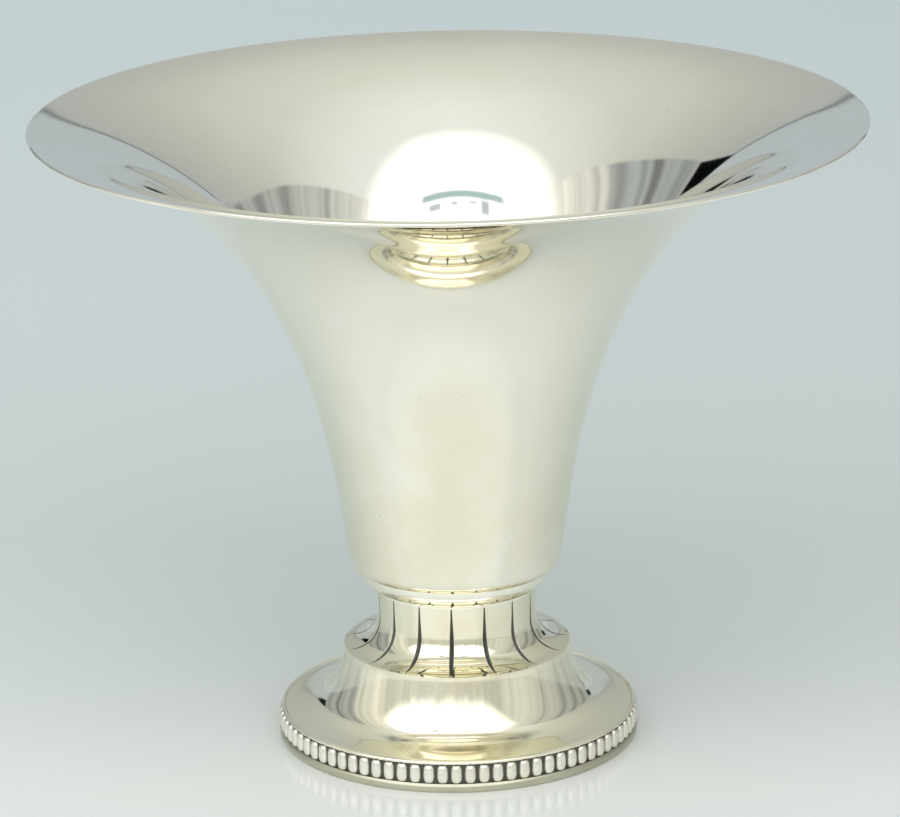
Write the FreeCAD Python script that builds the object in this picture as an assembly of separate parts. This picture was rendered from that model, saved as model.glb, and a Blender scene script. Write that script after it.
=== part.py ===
import FreeCAD, Part
import math
import os

os.makedirs("parts", exist_ok=True)

# Trumpet vase of sheet silver: a flared bowl on a convex collar, a neck with
# engraved grooves, and a wide low foot edged with beads.
# The model stands on z = 0 with its axis on Z, and the front is towards -Y.

# Overall sizes
mouth_radius = 100.0
vase_height = 154.5

# Foot ring, the flat band that the vase stands on, with its flange past the foot
foot_ring_height = 2.2
foot_ring_flange = 0.95
foot_ring_width = 3.7
foot_ring_bulge = 0.45

# Foot sheet: turned-down edge, low brim, hollow flare and upright wall
foot_sheet = 0.9
foot_radius = 42.75
brim_land = 1.2
foot_edge_bend = 0.3
foot_wall_radius = 27.65
foot_wall_rise = 14.95

# The flare, from the top of the wall out to the brim's straight land. Each row
# gives a share of the way out and a share of the way up.
foot_flare_shares = (
    (0.019, 0.887),
    (0.093, 0.628),
    (0.211, 0.360),
    (0.358, 0.171),
    (0.543, 0.066),
    (0.760, 0.022),
)
wall_lean_deg = 2.0
brim_slope_deg = 2.5

# Beads, upright and round-ended, on a thin strip round the foot's edge
bead_count = 82
bead_width = 2.9
bead_height = 4.7
bead_strip = 0.35
bead_phase_deg = 1.2

# Plain wire that lies on the beads against the foot's edge
edge_wire_thickness = 0.9

# Neck, with a flared lip at its base that stands a little past the foot's wall
neck_flare_radius = 7.2
neck_rise = 14.7
neck_wall = 1.1
lip_overhang = 0.1
lip_land = 1.15
lip_edge = 0.6
lip_drop = 0.15

# Engraved grooves of the neck. Each row gives a share of the way along the
# groove from its top and a share of its full width there.
groove_count = 15
groove_phase_deg = 266.1
groove_width = 1.1
groove_depth = 0.5
groove_top_gap = 0.5
groove_end_gap = 0.7
groove_overrun = 0.4
groove_width_shares = (
    (0.0, 0.30),
    (0.2, 0.55),
    (0.4, 0.90),
    (0.58, 1.0),
    (0.74, 0.90),
    (0.88, 0.60),
    (1.0, 0.16),
)

# Collar, a convex ring between the neck and the bowl
collar_height = 5.05
collar_step = 0.7
collar_spread = 3.3
collar_ledge = 2.3
collar_bulge = 0.85
collar_edge = 0.35

# Bowl sheet
bowl_sheet = 0.8
bowl_corner = 3.0
throat_overhang = 2.65
throat_rise = 3.2
throat_lean_deg = 7.4
mouth_lean_deg = 84.0

# The bowl's flare, from the throat to the mouth. Each row gives a share of
# the way out and a share of the way up.
bowl_flare_shares = (
    (0.049, 0.213),
    (0.129, 0.424),
    (0.259, 0.623),
    (0.448, 0.798),
    (0.566, 0.872),
    (0.698, 0.9325),
    (0.844, 0.977),
)

# Wire round the mouth, and the seam between it and the bowl's edge
rim_wire_thickness = 0.95
rim_seam = 0.1

# Heights that follow from the sizes above, from the foot up
bead_top = foot_ring_height + bead_height
brim_height = bead_top + edge_wire_thickness / 2 + foot_edge_bend
shoulder_height = brim_height + foot_wall_rise
lip_height = shoulder_height + lip_edge
neck_top_height = lip_height + neck_rise
collar_top_height = neck_top_height + collar_height
throat_height = collar_top_height + throat_rise

# Radii that follow from the sizes above, from the foot up
foot_ring_radius = foot_radius + foot_ring_flange
foot_ring_bore = foot_ring_radius - foot_ring_width
lip_radius = foot_wall_radius + lip_overhang
neck_radius = lip_radius - lip_land - neck_flare_radius
neck_bore = neck_radius - neck_wall
collar_base_radius = neck_radius + collar_step
collar_top_radius = collar_base_radius + collar_spread
collar_bore = neck_bore - collar_ledge
throat_radius = collar_top_radius + throat_overhang
rim_wire_radius = rim_wire_thickness / 2
rim_centre_radius = mouth_radius - rim_wire_radius
rim_centre_height = vase_height - rim_wire_radius


def at(radius, height):
    """A point of the half section, at a distance from the axis and a height."""
    return FreeCAD.Vector(radius, 0, height)


def heading(lean_deg):
    """A direction in the half section that leans out from upright."""
    lean = math.radians(lean_deg)
    return FreeCAD.Vector(math.sin(lean), 0, math.cos(lean))


def outward(direction):
    """The direction square to a heading, on its outer and lower side."""
    return FreeCAD.Vector(direction.z, 0, -direction.x)


def line(start, end):
    return Part.LineSegment(start, end).toShape()


def arc(start, middle, end):
    return Part.Arc(start, middle, end).toShape()


def bulged(start, end, bulge):
    """An arc from start to end that stands off its chord on the outer side."""
    middle = (start + end) * 0.5
    along = (end - start).normalize()
    return arc(start, middle + outward(along) * bulge, end)


def smooth(points, first_heading, last_heading):
    """A smooth curve through the points with a heading at each end."""
    spline = Part.BSplineCurve()
    spline.interpolate(Points=points, InitialTangent=first_heading, FinalTangent=last_heading)
    return spline


def beside(points, spline, distance):
    """The points moved square to the curve, to its inner side."""
    moved = []
    for point in points:
        direction = spline.tangent(spline.parameter(point))[0]
        moved.append(point - outward(direction) * distance)
    return moved


def turned(edges):
    """The solid that a closed half section makes when it turns on the axis."""
    face = Part.Face(Part.Wire(edges))
    solid = face.revolve(FreeCAD.Vector(0, 0, 0), FreeCAD.Vector(0, 0, 1), 360)
    return upright(solid)


def upright(solid):
    """The same solid with its faces pointing out."""
    if solid.Volume < 0:
        solid.reverse()
    return solid


def round_wire(centre_radius, centre_height, wire_radius):
    """A ring of round wire."""
    centre = FreeCAD.Vector(0, 0, centre_height)
    return Part.makeTorus(centre_radius, wire_radius, centre, FreeCAD.Vector(0, 0, 1))


def in_span(start, end, share):
    return start + (end - start) * share


def make_foot_ring():
    """Flat flange with a rounded outer edge."""
    low_in = at(foot_ring_bore, 0)
    low_out = at(foot_ring_radius, 0)
    high_out = at(foot_ring_radius, foot_ring_height)
    high_in = at(foot_ring_bore, foot_ring_height)
    edges = [
        line(low_in, low_out),
        bulged(low_out, high_out, foot_ring_bulge),
        line(high_out, high_in),
        line(high_in, low_in),
    ]
    return turned(edges)


def foot_curve():
    """Outer line of the foot sheet, from the brim's land up to the shoulder."""
    along_brim = heading(brim_slope_deg - 90)
    along_wall = heading(-wall_lean_deg)
    start = at(foot_radius - foot_edge_bend, brim_height) + along_brim * brim_land
    end = at(foot_wall_radius, shoulder_height)
    points = [start]
    for out_share, up_share in reversed(foot_flare_shares):
        radius = in_span(end.x, start.x, out_share)
        height = in_span(start.z, end.z, up_share)
        points.append(at(radius, height))
    points.append(end)
    return points, smooth(points, along_brim, along_wall)


def make_foot():
    """Foot sheet: turned-down edge, brim, flare and wall in one shell."""
    points, outer = foot_curve()
    inner_points = beside(points, outer, foot_sheet)
    inner_points[-1] = at(foot_wall_radius - foot_sheet, shoulder_height)
    along_brim = heading(brim_slope_deg - 90)
    inner = smooth(inner_points, along_brim, heading(-wall_lean_deg))
    bend_centre = at(foot_radius - foot_edge_bend, brim_height - foot_edge_bend)
    bend_start = bend_centre + heading(0) * foot_edge_bend
    bend_middle = bend_centre + heading(45) * foot_edge_bend
    bend_end = bend_centre + heading(90) * foot_edge_bend
    inside_radius = foot_radius - foot_sheet
    fall = (inside_radius - inner_points[0].x) * math.tan(math.radians(brim_slope_deg))
    brim_inside = at(inside_radius, inner_points[0].z - fall)
    edge_inside = at(inside_radius, foot_ring_height)
    edge_outside = at(foot_radius, foot_ring_height)
    edges = [
        outer.toShape(),
        line(points[-1], inner_points[-1]),
        inner.toShape(),
        line(inner_points[0], brim_inside),
        line(brim_inside, edge_inside),
        line(edge_inside, edge_outside),
        line(edge_outside, bend_end),
        arc(bend_end, bend_middle, bend_start),
        line(bend_start, points[0]),
    ]
    return turned(Part.__sortEdges__(edges))


def make_bead_border():
    """Beads in a row on a thin strip, flat at the back against the foot."""
    bead_radius = bead_width / 2
    straight = bead_height - bead_width
    pin = Part.makeCylinder(bead_radius, straight, at(foot_radius, foot_ring_height + bead_radius))
    low_end = Part.makeSphere(bead_radius, at(foot_radius, foot_ring_height + bead_radius))
    high_end = Part.makeSphere(bead_radius, at(foot_radius, bead_top - bead_radius))
    bead = pin.fuse([low_end, high_end]).removeSplitter()
    core = Part.makeCylinder(foot_radius, bead_height, at(0, foot_ring_height))
    half_bead = bead.cut(core)
    strip_radius = foot_radius + bead_strip
    strip = Part.makeCylinder(strip_radius, bead_height, at(0, foot_ring_height)).cut(core)
    beads = []
    for index in range(bead_count):
        turn = bead_phase_deg + 360 * index / bead_count
        copy = half_bead.copy()
        copy.rotate(FreeCAD.Vector(0, 0, 0), FreeCAD.Vector(0, 0, 1), turn)
        beads.append(copy)
    return strip.fuse(beads)


def make_edge_wire():
    """Round wire seated on the beads and against the foot's edge."""
    radius = edge_wire_thickness / 2
    return round_wire(foot_radius + radius, bead_top + radius, radius)


def neck_outline():
    """The centre of the neck's flare and the two ends of its round."""
    flare_centre = at(neck_radius + neck_flare_radius, lip_height + lip_drop + neck_flare_radius)
    flare_top = at(neck_radius, flare_centre.z)
    flare_end = flare_centre - FreeCAD.Vector(0, 0, neck_flare_radius)
    return flare_centre, flare_top, flare_end


def make_neck():
    """Hollow neck with a sharp flared lip, before the grooves."""
    centre, flare_top, flare_end = neck_outline()
    inner_radius = neck_flare_radius + neck_wall
    outer_middle = centre + heading(-135) * neck_flare_radius
    inner_middle = centre + heading(-135) * inner_radius
    top_out = at(neck_radius, neck_top_height)
    top_in = at(neck_bore, neck_top_height)
    inner_top = at(neck_bore, centre.z)
    lip_top = at(lip_radius, lip_height)
    lip_low = at(lip_radius, shoulder_height)
    # The inner round stops at the height of the lip's underside.
    drop = centre.z - shoulder_height
    reach = math.sqrt(inner_radius ** 2 - drop ** 2)
    inner_end = at(centre.x - reach, shoulder_height)
    edges = [
        line(top_in, top_out),
        line(top_out, flare_top),
        arc(flare_top, outer_middle, flare_end),
        line(flare_end, lip_top),
        line(lip_top, lip_low),
        line(lip_low, inner_end),
        arc(inner_end, inner_middle, inner_top),
        line(inner_top, top_in),
    ]
    return turned(edges)


def neck_station(share):
    """A point on the neck's outer line and the direction straight out of it."""
    centre, flare_top, flare_end = neck_outline()
    straight = neck_top_height - groove_top_gap - flare_top.z
    bend = neck_flare_radius * math.pi / 2
    last = lip_radius - groove_end_gap - flare_end.x
    travelled = share * (straight + bend + last)
    if travelled <= straight:
        height = neck_top_height - groove_top_gap - travelled
        return at(neck_radius, height), heading(90)
    if travelled <= straight + bend:
        turned_deg = math.degrees((travelled - straight) / neck_flare_radius)
        out = heading(90 - turned_deg)
        return centre - out * neck_flare_radius, out
    radius = flare_end.x + travelled - straight - bend
    return at(radius, flare_end.z), heading(0)


def groove_section(share, width_share):
    """A narrow wedge across the groove, point downwards."""
    surface, out = neck_station(share)
    half_width = groove_width * width_share / 2
    depth = groove_depth * width_share
    spread = half_width * (depth + groove_overrun) / depth
    side = FreeCAD.Vector(0, spread, 0)
    tip = surface - out * depth
    above = surface + out * groove_overrun
    return Part.makePolygon([tip, above + side, above - side, tip])


def make_grooved_neck():
    """Neck with its engraved grooves, each wide at the middle and fine at the ends."""
    sections = [groove_section(share, width) for share, width in groove_width_shares]
    cutter = upright(Part.makeLoft(sections, True, False))
    cutters = []
    for index in range(groove_count):
        turn = groove_phase_deg + 360 * index / groove_count
        copy = cutter.copy()
        copy.rotate(FreeCAD.Vector(0, 0, 0), FreeCAD.Vector(0, 0, 1), turn)
        cutters.append(copy)
    return make_neck().cut(cutters)


def make_collar():
    """Convex ring with a fine upright edge at its base."""
    base_in = at(collar_bore, neck_top_height)
    base_out = at(collar_base_radius, neck_top_height)
    edge_top = at(collar_base_radius, neck_top_height + collar_edge)
    top_out = at(collar_top_radius, collar_top_height)
    top_in = at(collar_bore, collar_top_height)
    edges = [
        line(base_in, base_out),
        line(base_out, edge_top),
        bulged(edge_top, top_out, collar_bulge),
        line(top_out, top_in),
        line(top_in, base_in),
    ]
    return turned(edges)


def make_rim_wire():
    """Round wire that stiffens the mouth."""
    return round_wire(rim_centre_radius, rim_centre_height, rim_wire_radius)


def bowl_curve():
    """Outer line of the bowl's wall, from the throat to the seam at the rim wire."""
    start = at(throat_radius, throat_height)
    along_mouth = heading(mouth_lean_deg)
    rim_centre = at(rim_centre_radius, rim_centre_height)
    edge_middle = rim_centre - along_mouth * (rim_wire_radius + rim_seam)
    end = edge_middle + outward(along_mouth) * (bowl_sheet / 2)
    points = [start]
    for out_share, up_share in bowl_flare_shares:
        radius = in_span(start.x, end.x, out_share)
        height = in_span(start.z, end.z, up_share)
        points.append(at(radius, height))
    points.append(end)
    return points, smooth(points, heading(throat_lean_deg), along_mouth)


def make_bowl():
    """Flared bowl in one sheet, with a flat bottom and a round corner."""
    points, outer = bowl_curve()
    inner_points = beside(points, outer, bowl_sheet)
    inner = smooth(inner_points, heading(throat_lean_deg), heading(mouth_lean_deg))
    lean = math.radians(throat_lean_deg)
    corner_height = collar_top_height + bowl_corner
    # The wall runs straight from the corner's end up to the throat.
    corner_out = outward(heading(throat_lean_deg))
    end_height = corner_height + corner_out.z * bowl_corner
    end_radius = throat_radius - (throat_height - end_height) * math.tan(lean)
    corner_end = at(end_radius, end_height)
    corner_centre = corner_end - corner_out * bowl_corner
    corner_start = at(corner_centre.x, collar_top_height)
    middle_out = outward(heading(throat_lean_deg / 2 + 45))
    inner_corner = bowl_corner - bowl_sheet
    floor_height = collar_top_height + bowl_sheet
    inner_corner_end = corner_centre + corner_out * inner_corner
    inner_corner_start = at(corner_centre.x, floor_height)
    edges = [
        line(at(0, collar_top_height), corner_start),
        arc(corner_start, corner_centre + middle_out * bowl_corner, corner_end),
        line(corner_end, points[0]),
        outer.toShape(),
        line(points[-1], inner_points[-1]),
        inner.toShape(),
        line(inner_points[0], inner_corner_end),
        arc(inner_corner_end, corner_centre + middle_out * inner_corner, inner_corner_start),
        line(inner_corner_start, at(0, floor_height)),
        line(at(0, floor_height), at(0, collar_top_height)),
    ]
    return turned(Part.__sortEdges__(edges))


def main():
    nodes = {
        "foot_ring": make_foot_ring(),
        "foot_dome": make_foot(),
        "bead_border": make_bead_border(),
        "edge_wire": make_edge_wire(),
        "fluted_neck": make_grooved_neck(),
        "collar_ring": make_collar(),
        "trumpet_bowl": make_bowl(),
        "rim_wire": make_rim_wire(),
    }
    for name, shape in nodes.items():
        shape.exportStep("parts/" + name + ".step")
        print(name, len(shape.Solids), "solid", round(shape.Volume), "mm3", shape.isValid())


main()
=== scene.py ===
"""Looks of the trumpet vase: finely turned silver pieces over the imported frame.

Every piece stands for the CAD node whose name it carries. Lengths are in metres,
heights are above the floor, and the front of the vase is towards -Y.
"""
import logging
import math
from dataclasses import dataclass, field
from enum import Enum

import bpy
import numpy as np
from mathutils import Matrix, Vector


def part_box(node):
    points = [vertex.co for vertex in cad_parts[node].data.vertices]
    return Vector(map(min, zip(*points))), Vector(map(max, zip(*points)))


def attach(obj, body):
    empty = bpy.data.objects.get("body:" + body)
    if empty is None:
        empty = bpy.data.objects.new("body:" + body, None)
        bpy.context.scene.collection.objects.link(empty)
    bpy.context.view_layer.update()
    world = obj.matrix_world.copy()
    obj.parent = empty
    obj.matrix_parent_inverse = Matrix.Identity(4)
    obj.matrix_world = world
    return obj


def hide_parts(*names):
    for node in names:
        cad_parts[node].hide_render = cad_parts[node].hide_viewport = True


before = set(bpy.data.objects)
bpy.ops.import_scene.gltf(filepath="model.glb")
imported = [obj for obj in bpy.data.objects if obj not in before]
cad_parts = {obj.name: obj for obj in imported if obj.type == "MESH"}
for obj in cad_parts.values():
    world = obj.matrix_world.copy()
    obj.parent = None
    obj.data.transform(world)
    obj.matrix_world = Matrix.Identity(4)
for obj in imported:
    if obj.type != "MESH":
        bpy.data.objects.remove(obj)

log = logging.getLogger("trumpet_vase")

Point = tuple[float, float]
Place = tuple[float, float, float]
Colour = tuple[float, float, float]
Stops = tuple[tuple[float, Colour], ...]
Layers = list[tuple["Value", "Value | Colour"]]
Term = "Value | float"

ROOT = "root"
PIECE = "_piece"
PATINA_AND_SHADE = "patina"
MILLIMETRE = 0.001
WIRE_SIDES = 20
FINE_STEPS = 40
SHARP_ANGLE = math.radians(28)
WELD_DISTANCE = 0.001 * MILLIMETRE


class Slot(Enum):
    """The record's material slots."""

    FOOT = "silver_foot"
    BEADS = "silver_beads"
    NECK = "silver_neck"
    BOWL = "silver_bowl"


# ---- Nodes ----


def fill_ramp(ramp: bpy.types.ColorRamp, stops: Stops) -> None:
    """Set a colour ramp's stops.

    Args:
        ramp: a new ramp.
        stops: the place and colour of each.
    """
    while len(ramp.elements) > 1:
        ramp.elements.remove(ramp.elements[-1])
    ramp.elements[0].position = stops[0][0]
    ramp.elements[0].color = (*stops[0][1], 1)
    for position, colour in stops[1:]:
        ramp.elements.new(position).color = (*colour, 1)


def fill_curve(mapping: bpy.types.CurveMapping, bends: tuple[Point, ...]) -> None:
    """Set a float curve's points.

    Args:
        mapping: a new curve with its two end points.
        bends: the place and height of each.
    """
    points = mapping.curves[0].points
    points[0].location = bends[0]
    points[1].location = bends[-1]
    for bend in bends[1:-1]:
        points.new(*bend)
    mapping.update()


def add_node(tree: bpy.types.NodeTree, kind: str, settings: dict, inputs: dict) -> bpy.types.Node:
    """Add a node to a shader or Geometry Nodes tree.

    Args:
        tree: the tree.
        kind: the node's type.
        settings: its own settings, set first. The entry "stops" fills a colour
            ramp and the entry "bends" a float curve.
        inputs: values or links of its sockets, by name or by number.

    Returns:
        The node.
    """
    made = tree.nodes.new(kind)
    for key, setting in settings.items():
        if key == "stops":
            fill_ramp(made.color_ramp, setting)
        elif key == "bends":
            fill_curve(made.mapping, setting)
        else:
            setattr(made, key, setting)
    for key, given in inputs.items():
        given = given.socket if isinstance(given, Value) else given
        if isinstance(given, bpy.types.NodeSocket):
            tree.links.new(given, made.inputs[key])
        else:
            made.inputs[key].default_value = given
    return made


class Value:
    """A number, colour or vector in a shader. Numbers take part in Python sums."""

    def __init__(self, sketch: "ShaderSketch", socket: bpy.types.NodeSocket) -> None:
        """Keep the socket and the sketch that new nodes go into."""
        self.sketch = sketch
        self.socket = socket

    def _sum(self, operation: str, *terms: Term) -> "Value":
        """The result of one Math node."""
        inputs = dict(enumerate(terms))
        return self.sketch.node("ShaderNodeMath", {"operation": operation}, inputs)[0]

    def __add__(self, other: Term) -> "Value":
        """Sum."""
        return self._sum("ADD", self, other)

    __radd__ = __add__

    def __sub__(self, other: Term) -> "Value":
        """Difference."""
        return self._sum("SUBTRACT", self, other)

    def __rsub__(self, other: float) -> "Value":
        """Difference from a number."""
        return self._sum("SUBTRACT", other, self)

    def __mul__(self, other: Term) -> "Value":
        """Product."""
        return self._sum("MULTIPLY", self, other)

    __rmul__ = __mul__

    def __truediv__(self, other: Term) -> "Value":
        """Quotient."""
        return self._sum("DIVIDE", self, other)

    def __abs__(self) -> "Value":
        """Size without sign."""
        return self._sum("ABSOLUTE", self)

    def squared(self) -> "Value":
        """The value times itself."""
        return self._sum("MULTIPLY", self, self)

    def root(self) -> "Value":
        """Square root."""
        return self._sum("SQRT", self)

    def arcsine_deg(self) -> "Value":
        """The angle whose sine this is, in degrees."""
        return self._sum("ARCSINE", self) * math.degrees(1)

    def angle_deg(self, other: "Value") -> "Value":
        """The angle of the direction (other, self), in degrees."""
        return self._sum("ARCTAN2", self, other) * math.degrees(1)

    def least(self, other: Term) -> "Value":
        """The smaller of two values."""
        return self._sum("MINIMUM", self, other)

    def most(self, other: Term) -> "Value":
        """The larger of two values."""
        return self._sum("MAXIMUM", self, other)

    def clamped(self) -> "Value":
        """The value kept between 0 and 1."""
        return self.least(1.0).most(0.0)

    def above(self, edge: Term, softness: float) -> "Value":
        """A mask that turns on as the value passes an edge, over a soft width."""
        return ((self - edge) / softness + 0.5).clamped()

    def near(self, centre: Term, width: Term, softness: float) -> "Value":
        """A mask that is on in a band round a centre, with soft edges."""
        return 1.0 - abs(self - centre).above(width / 2, softness)


class ShaderSketch:
    """Builds one node tree from Python expressions."""

    MIX_FIRST, MIX_SECOND, MIX_RESULT = 6, 7, 2
    GENERATED, OBJECT = 0, 3

    def __init__(self, tree: bpy.types.NodeTree) -> None:
        """Start with an empty tree."""
        self.tree = tree
        tree.nodes.clear()

    def node(
        self, kind: str, settings: dict | None = None, inputs: dict | None = None
    ) -> list[Value]:
        """Add a node, as add_node does, and give its outputs."""
        made = add_node(self.tree, kind, settings or {}, inputs or {})
        return [Value(self, output) for output in made.outputs]

    def coordinates(self, output: int) -> Value:
        """One of the Texture Coordinate node's outputs."""
        return self.node("ShaderNodeTexCoord")[output]

    def mixed(self, mask: Term, first: "Value | Colour", second: "Value | Colour") -> Value:
        """Mix two colours.

        Args:
            mask: 0 where the first shows and 1 where the second does.
            first: one colour.
            second: the other.

        Returns:
            The mixed colour.
        """
        inputs = {0: mask}
        for key, colour in ((self.MIX_FIRST, first), (self.MIX_SECOND, second)):
            inputs[key] = colour if isinstance(colour, Value) else (*colour, 1)
        return self.node("ShaderNodeMix", {"data_type": "RGBA"}, inputs)[self.MIX_RESULT]

    def ramp(self, stops: Stops, at: Value) -> Value:
        """The colour that a ramp has at a value."""
        return self.node("ShaderNodeValToRGB", {"stops": stops}, {0: at})[0]

    def scaled(self, colour: Value, factor: Value) -> Value:
        """A colour times a number."""
        settings = {"operation": "SCALE"}
        return self.node("ShaderNodeVectorMath", settings, {0: colour, "Scale": factor})[0]

    def vector(self, x: Term, y: Term, z: Term) -> Value:
        """A vector of three numbers."""
        return self.node("ShaderNodeCombineXYZ", {}, {0: x, 1: y, 2: z})[0]

    def parts(self, vector: Value) -> list[Value]:
        """The three numbers of a vector."""
        return self.node("ShaderNodeSeparateXYZ", {}, {0: vector})

    def noise(self, vector: Value, scale: float, detail: float = 2.0) -> Value:
        """Soft noise around 0.5."""
        inputs = {"Vector": vector, "Scale": scale, "Detail": detail}
        return self.node("ShaderNodeTexNoise", {}, inputs)[0]

    def end_surface(self, inputs: dict) -> None:
        """End a material's tree with one Principled shader."""
        shader = self.node("ShaderNodeBsdfPrincipled", {}, inputs)[0]
        self.node("ShaderNodeOutputMaterial", {}, {"Surface": shader})


def new_material(name: str) -> tuple[bpy.types.Material, ShaderSketch]:
    """Make a material.

    Args:
        name: its name.

    Returns:
        The material and the sketch of its empty tree.
    """
    made = bpy.data.materials.new(name)
    made.use_nodes = True
    return made, ShaderSketch(made.node_tree)


# ---- Finishes ----


@dataclass(frozen=True)
class Metal:
    """A made material and the record's slot that it fills."""

    slot: Slot
    material: bpy.types.Material


@dataclass(frozen=True)
class SilverFinish:
    """Polished silver with its hairlines, its faint warm tarnish, and dark oxide with painted shade
    in hollows and gaps.

    The tarnish is fainter above the height wiped_from, where it is wiped more often.
    """

    slot: Slot
    name: str
    clean: Colour = (0.966, 0.943, 0.862)
    tarnished: Colour = (0.885, 0.84, 0.70)
    tarnish: float = 0.8
    blotch_size: float = 27 * MILLIMETRE
    spot_size: float = 8 * MILLIMETRE
    spot_share: float = 0.4
    cloud_edge: float = 0.5
    cloud_softness: float = 0.15
    wiped_from: float = 1.0
    wiped_softness: float = 0.05
    wiped_share: float = 0.75
    roughness: float = 0.035
    haze: float = 0.02
    hairline_depth: float = 0.0006 * MILLIMETRE
    hairline_pitch: float = 0.25 * MILLIMETRE
    hairlines_per_degree: float = 0.12
    speck_share: float = 0.0
    speck_size: float = 0.9 * MILLIMETRE
    speck_edge: float = 0.79
    speck_softness: float = 0.03
    patina_and_shade_colour: Colour = (0.11, 0.112, 0.10)
    patina_and_shade_roughness: float = 0.5
    patina_and_shade_metal: float = 0.55

    def made(self) -> Metal:
        """Make the material.

        Returns:
            A metal with procedural colour, roughness, metal and bump.
        """
        material, sketch = new_material(self.name)
        place = sketch.coordinates(sketch.OBJECT)
        x, y, z = sketch.parts(place)
        reach = (x.squared() + y.squared()).root()
        along, across = self.hairlines_per_degree, 1 / self.hairline_pitch
        spread = sketch.vector(y.angle_deg(x) * along, reach * across, z * across)
        lines = sketch.noise(spread, 1.0)
        blotches = sketch.noise(place, 1 / self.blotch_size, 3.0)
        spots = sketch.noise(place, 1 / self.spot_size, 3.0)
        cloud = blotches * (1 - self.spot_share) + spots * self.spot_share
        cloud = cloud.above(self.cloud_edge, self.cloud_softness)
        cloud = cloud * (1.0 - z.above(self.wiped_from, self.wiped_softness) * self.wiped_share)
        specks = sketch.noise(place, 1 / self.speck_size, 1.0)
        specks = specks.above(self.speck_edge, self.speck_softness)
        # Hollows and gaps darken by this attribute, which holds dark oxide together with painted
        # shade. Dark specks are dirt.
        patina = sketch.node("ShaderNodeAttribute", {"attribute_name": PATINA_AND_SHADE})[2]
        specks_oxide_and_shade = patina.clamped().most(specks * self.speck_share)
        colour = sketch.mixed(cloud * self.tarnish, self.clean, self.tarnished)
        rough = self.roughness + lines * self.haze + cloud * (self.haze / 2)
        bump = {"Strength": 1.0, "Distance": self.hairline_depth, "Height": lines}
        sketch.end_surface(
            {
                "Base Color": sketch.mixed(specks_oxide_and_shade, colour, self.patina_and_shade_colour),
                "Metallic": 1.0 - specks_oxide_and_shade * (1 - self.patina_and_shade_metal),
                "Roughness": rough + specks_oxide_and_shade * (self.patina_and_shade_roughness - self.roughness),
                "Normal": sketch.node("ShaderNodeBump", {}, bump)[0],
            }
        )
        return Metal(self.slot, material)


# ---- Turned outlines and meshes ----


def direction(lean: float) -> Point:
    """The direction that leans from upright by an angle in degrees."""
    return math.sin(math.radians(lean)), math.cos(math.radians(lean))


def smooth_line(knots: np.ndarray, leans: Point, rows: int) -> np.ndarray:
    """A smooth line through given points with a given direction at each end.

    Args:
        knots: distance from the axis and height of each point.
        leans: lean from upright at the first and the last point, in degrees.
        rows: how many evenly spaced steps to return.

    Returns:
        Array of rows + 1 points.
    """
    steps = np.hypot(*np.diff(knots, axis=0).T)
    marks = np.concatenate([[0.0], np.cumsum(steps)])
    count = len(knots)
    left = np.zeros((count, count))
    right = np.zeros((count, 2))
    left[0, 0] = left[-1, -1] = 1
    right[0], right[-1] = map(direction, leans)
    for i in range(1, count - 1):
        before, after = steps[i - 1], steps[i]
        left[i, i - 1 : i + 2] = 1 / before, 2 / before + 2 / after, 1 / after
        rise = (knots[i] - knots[i - 1]) / before**2 + (knots[i + 1] - knots[i]) / after**2
        right[i] = 3 * rise
    slopes = np.linalg.solve(left, right)
    fine = np.linspace(0, marks[-1], FINE_STEPS * rows + 1)
    drawn = hermite(fine, marks, knots, slopes)
    lengths = np.concatenate([[0.0], np.cumsum(np.hypot(*np.diff(drawn, axis=0).T))])
    even = np.interp(np.linspace(0, lengths[-1], rows + 1), lengths, fine)
    return hermite(even, marks, knots, slopes)


def hermite(at: np.ndarray, marks: np.ndarray, knots: np.ndarray, slopes: np.ndarray) -> np.ndarray:
    """Points on a cubic curve.

    Args:
        at: where along the curve.
        marks: where its knots are.
        knots: the knots.
        slopes: the curve's derivative at each knot.

    Returns:
        One point for each place.
    """
    index = np.clip(np.searchsorted(marks, at, side="right") - 1, 0, len(marks) - 2)
    step = (marks[index + 1] - marks[index])[:, None]
    t = (at - marks[index])[:, None] / step
    first = (1 + 2 * t) * (1 - t) ** 2 * knots[index] + t * (1 - t) ** 2 * step * slopes[index]
    second = t**2 * (3 - 2 * t) * knots[index + 1] + t**2 * (t - 1) * step * slopes[index + 1]
    return first + second


def sheet_sides(
    ends: tuple[Point, Point], shares: tuple[Point, ...], leans: Point, sheet: float, rows: int
) -> tuple[np.ndarray, np.ndarray]:
    """Both sides of a curved sheet.

    Args:
        ends: the outer side's first and last point.
        shares: the points between, as shares of the way out and of the way up.
        leans: lean from upright at both ends, in degrees.
        sheet: the sheet's thickness.
        rows: how many steps each side has.

    Returns:
        The outer side's points and the inner side's.
    """
    start, end = np.array(ends)
    outer = smooth_line(np.vstack([start, start + (end - start) * shares, end]), leans, rows)
    along = np.gradient(outer, axis=0)
    along[0], along[-1] = map(direction, leans)
    along /= np.hypot(*along.T)[:, None]
    return outer, outer + np.column_stack([-along[:, 1], along[:, 0]]) * sheet


def arc_points(centre: Point, radius: float, start: float, end: float, rows: int) -> list[Point]:
    """Points on an arc between two angles above the outward direction, in degrees."""
    turns = [math.radians(start + (end - start) * i / rows) for i in range(rows + 1)]
    return [(centre[0] + radius * math.cos(a), centre[1] + radius * math.sin(a)) for a in turns]


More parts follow.
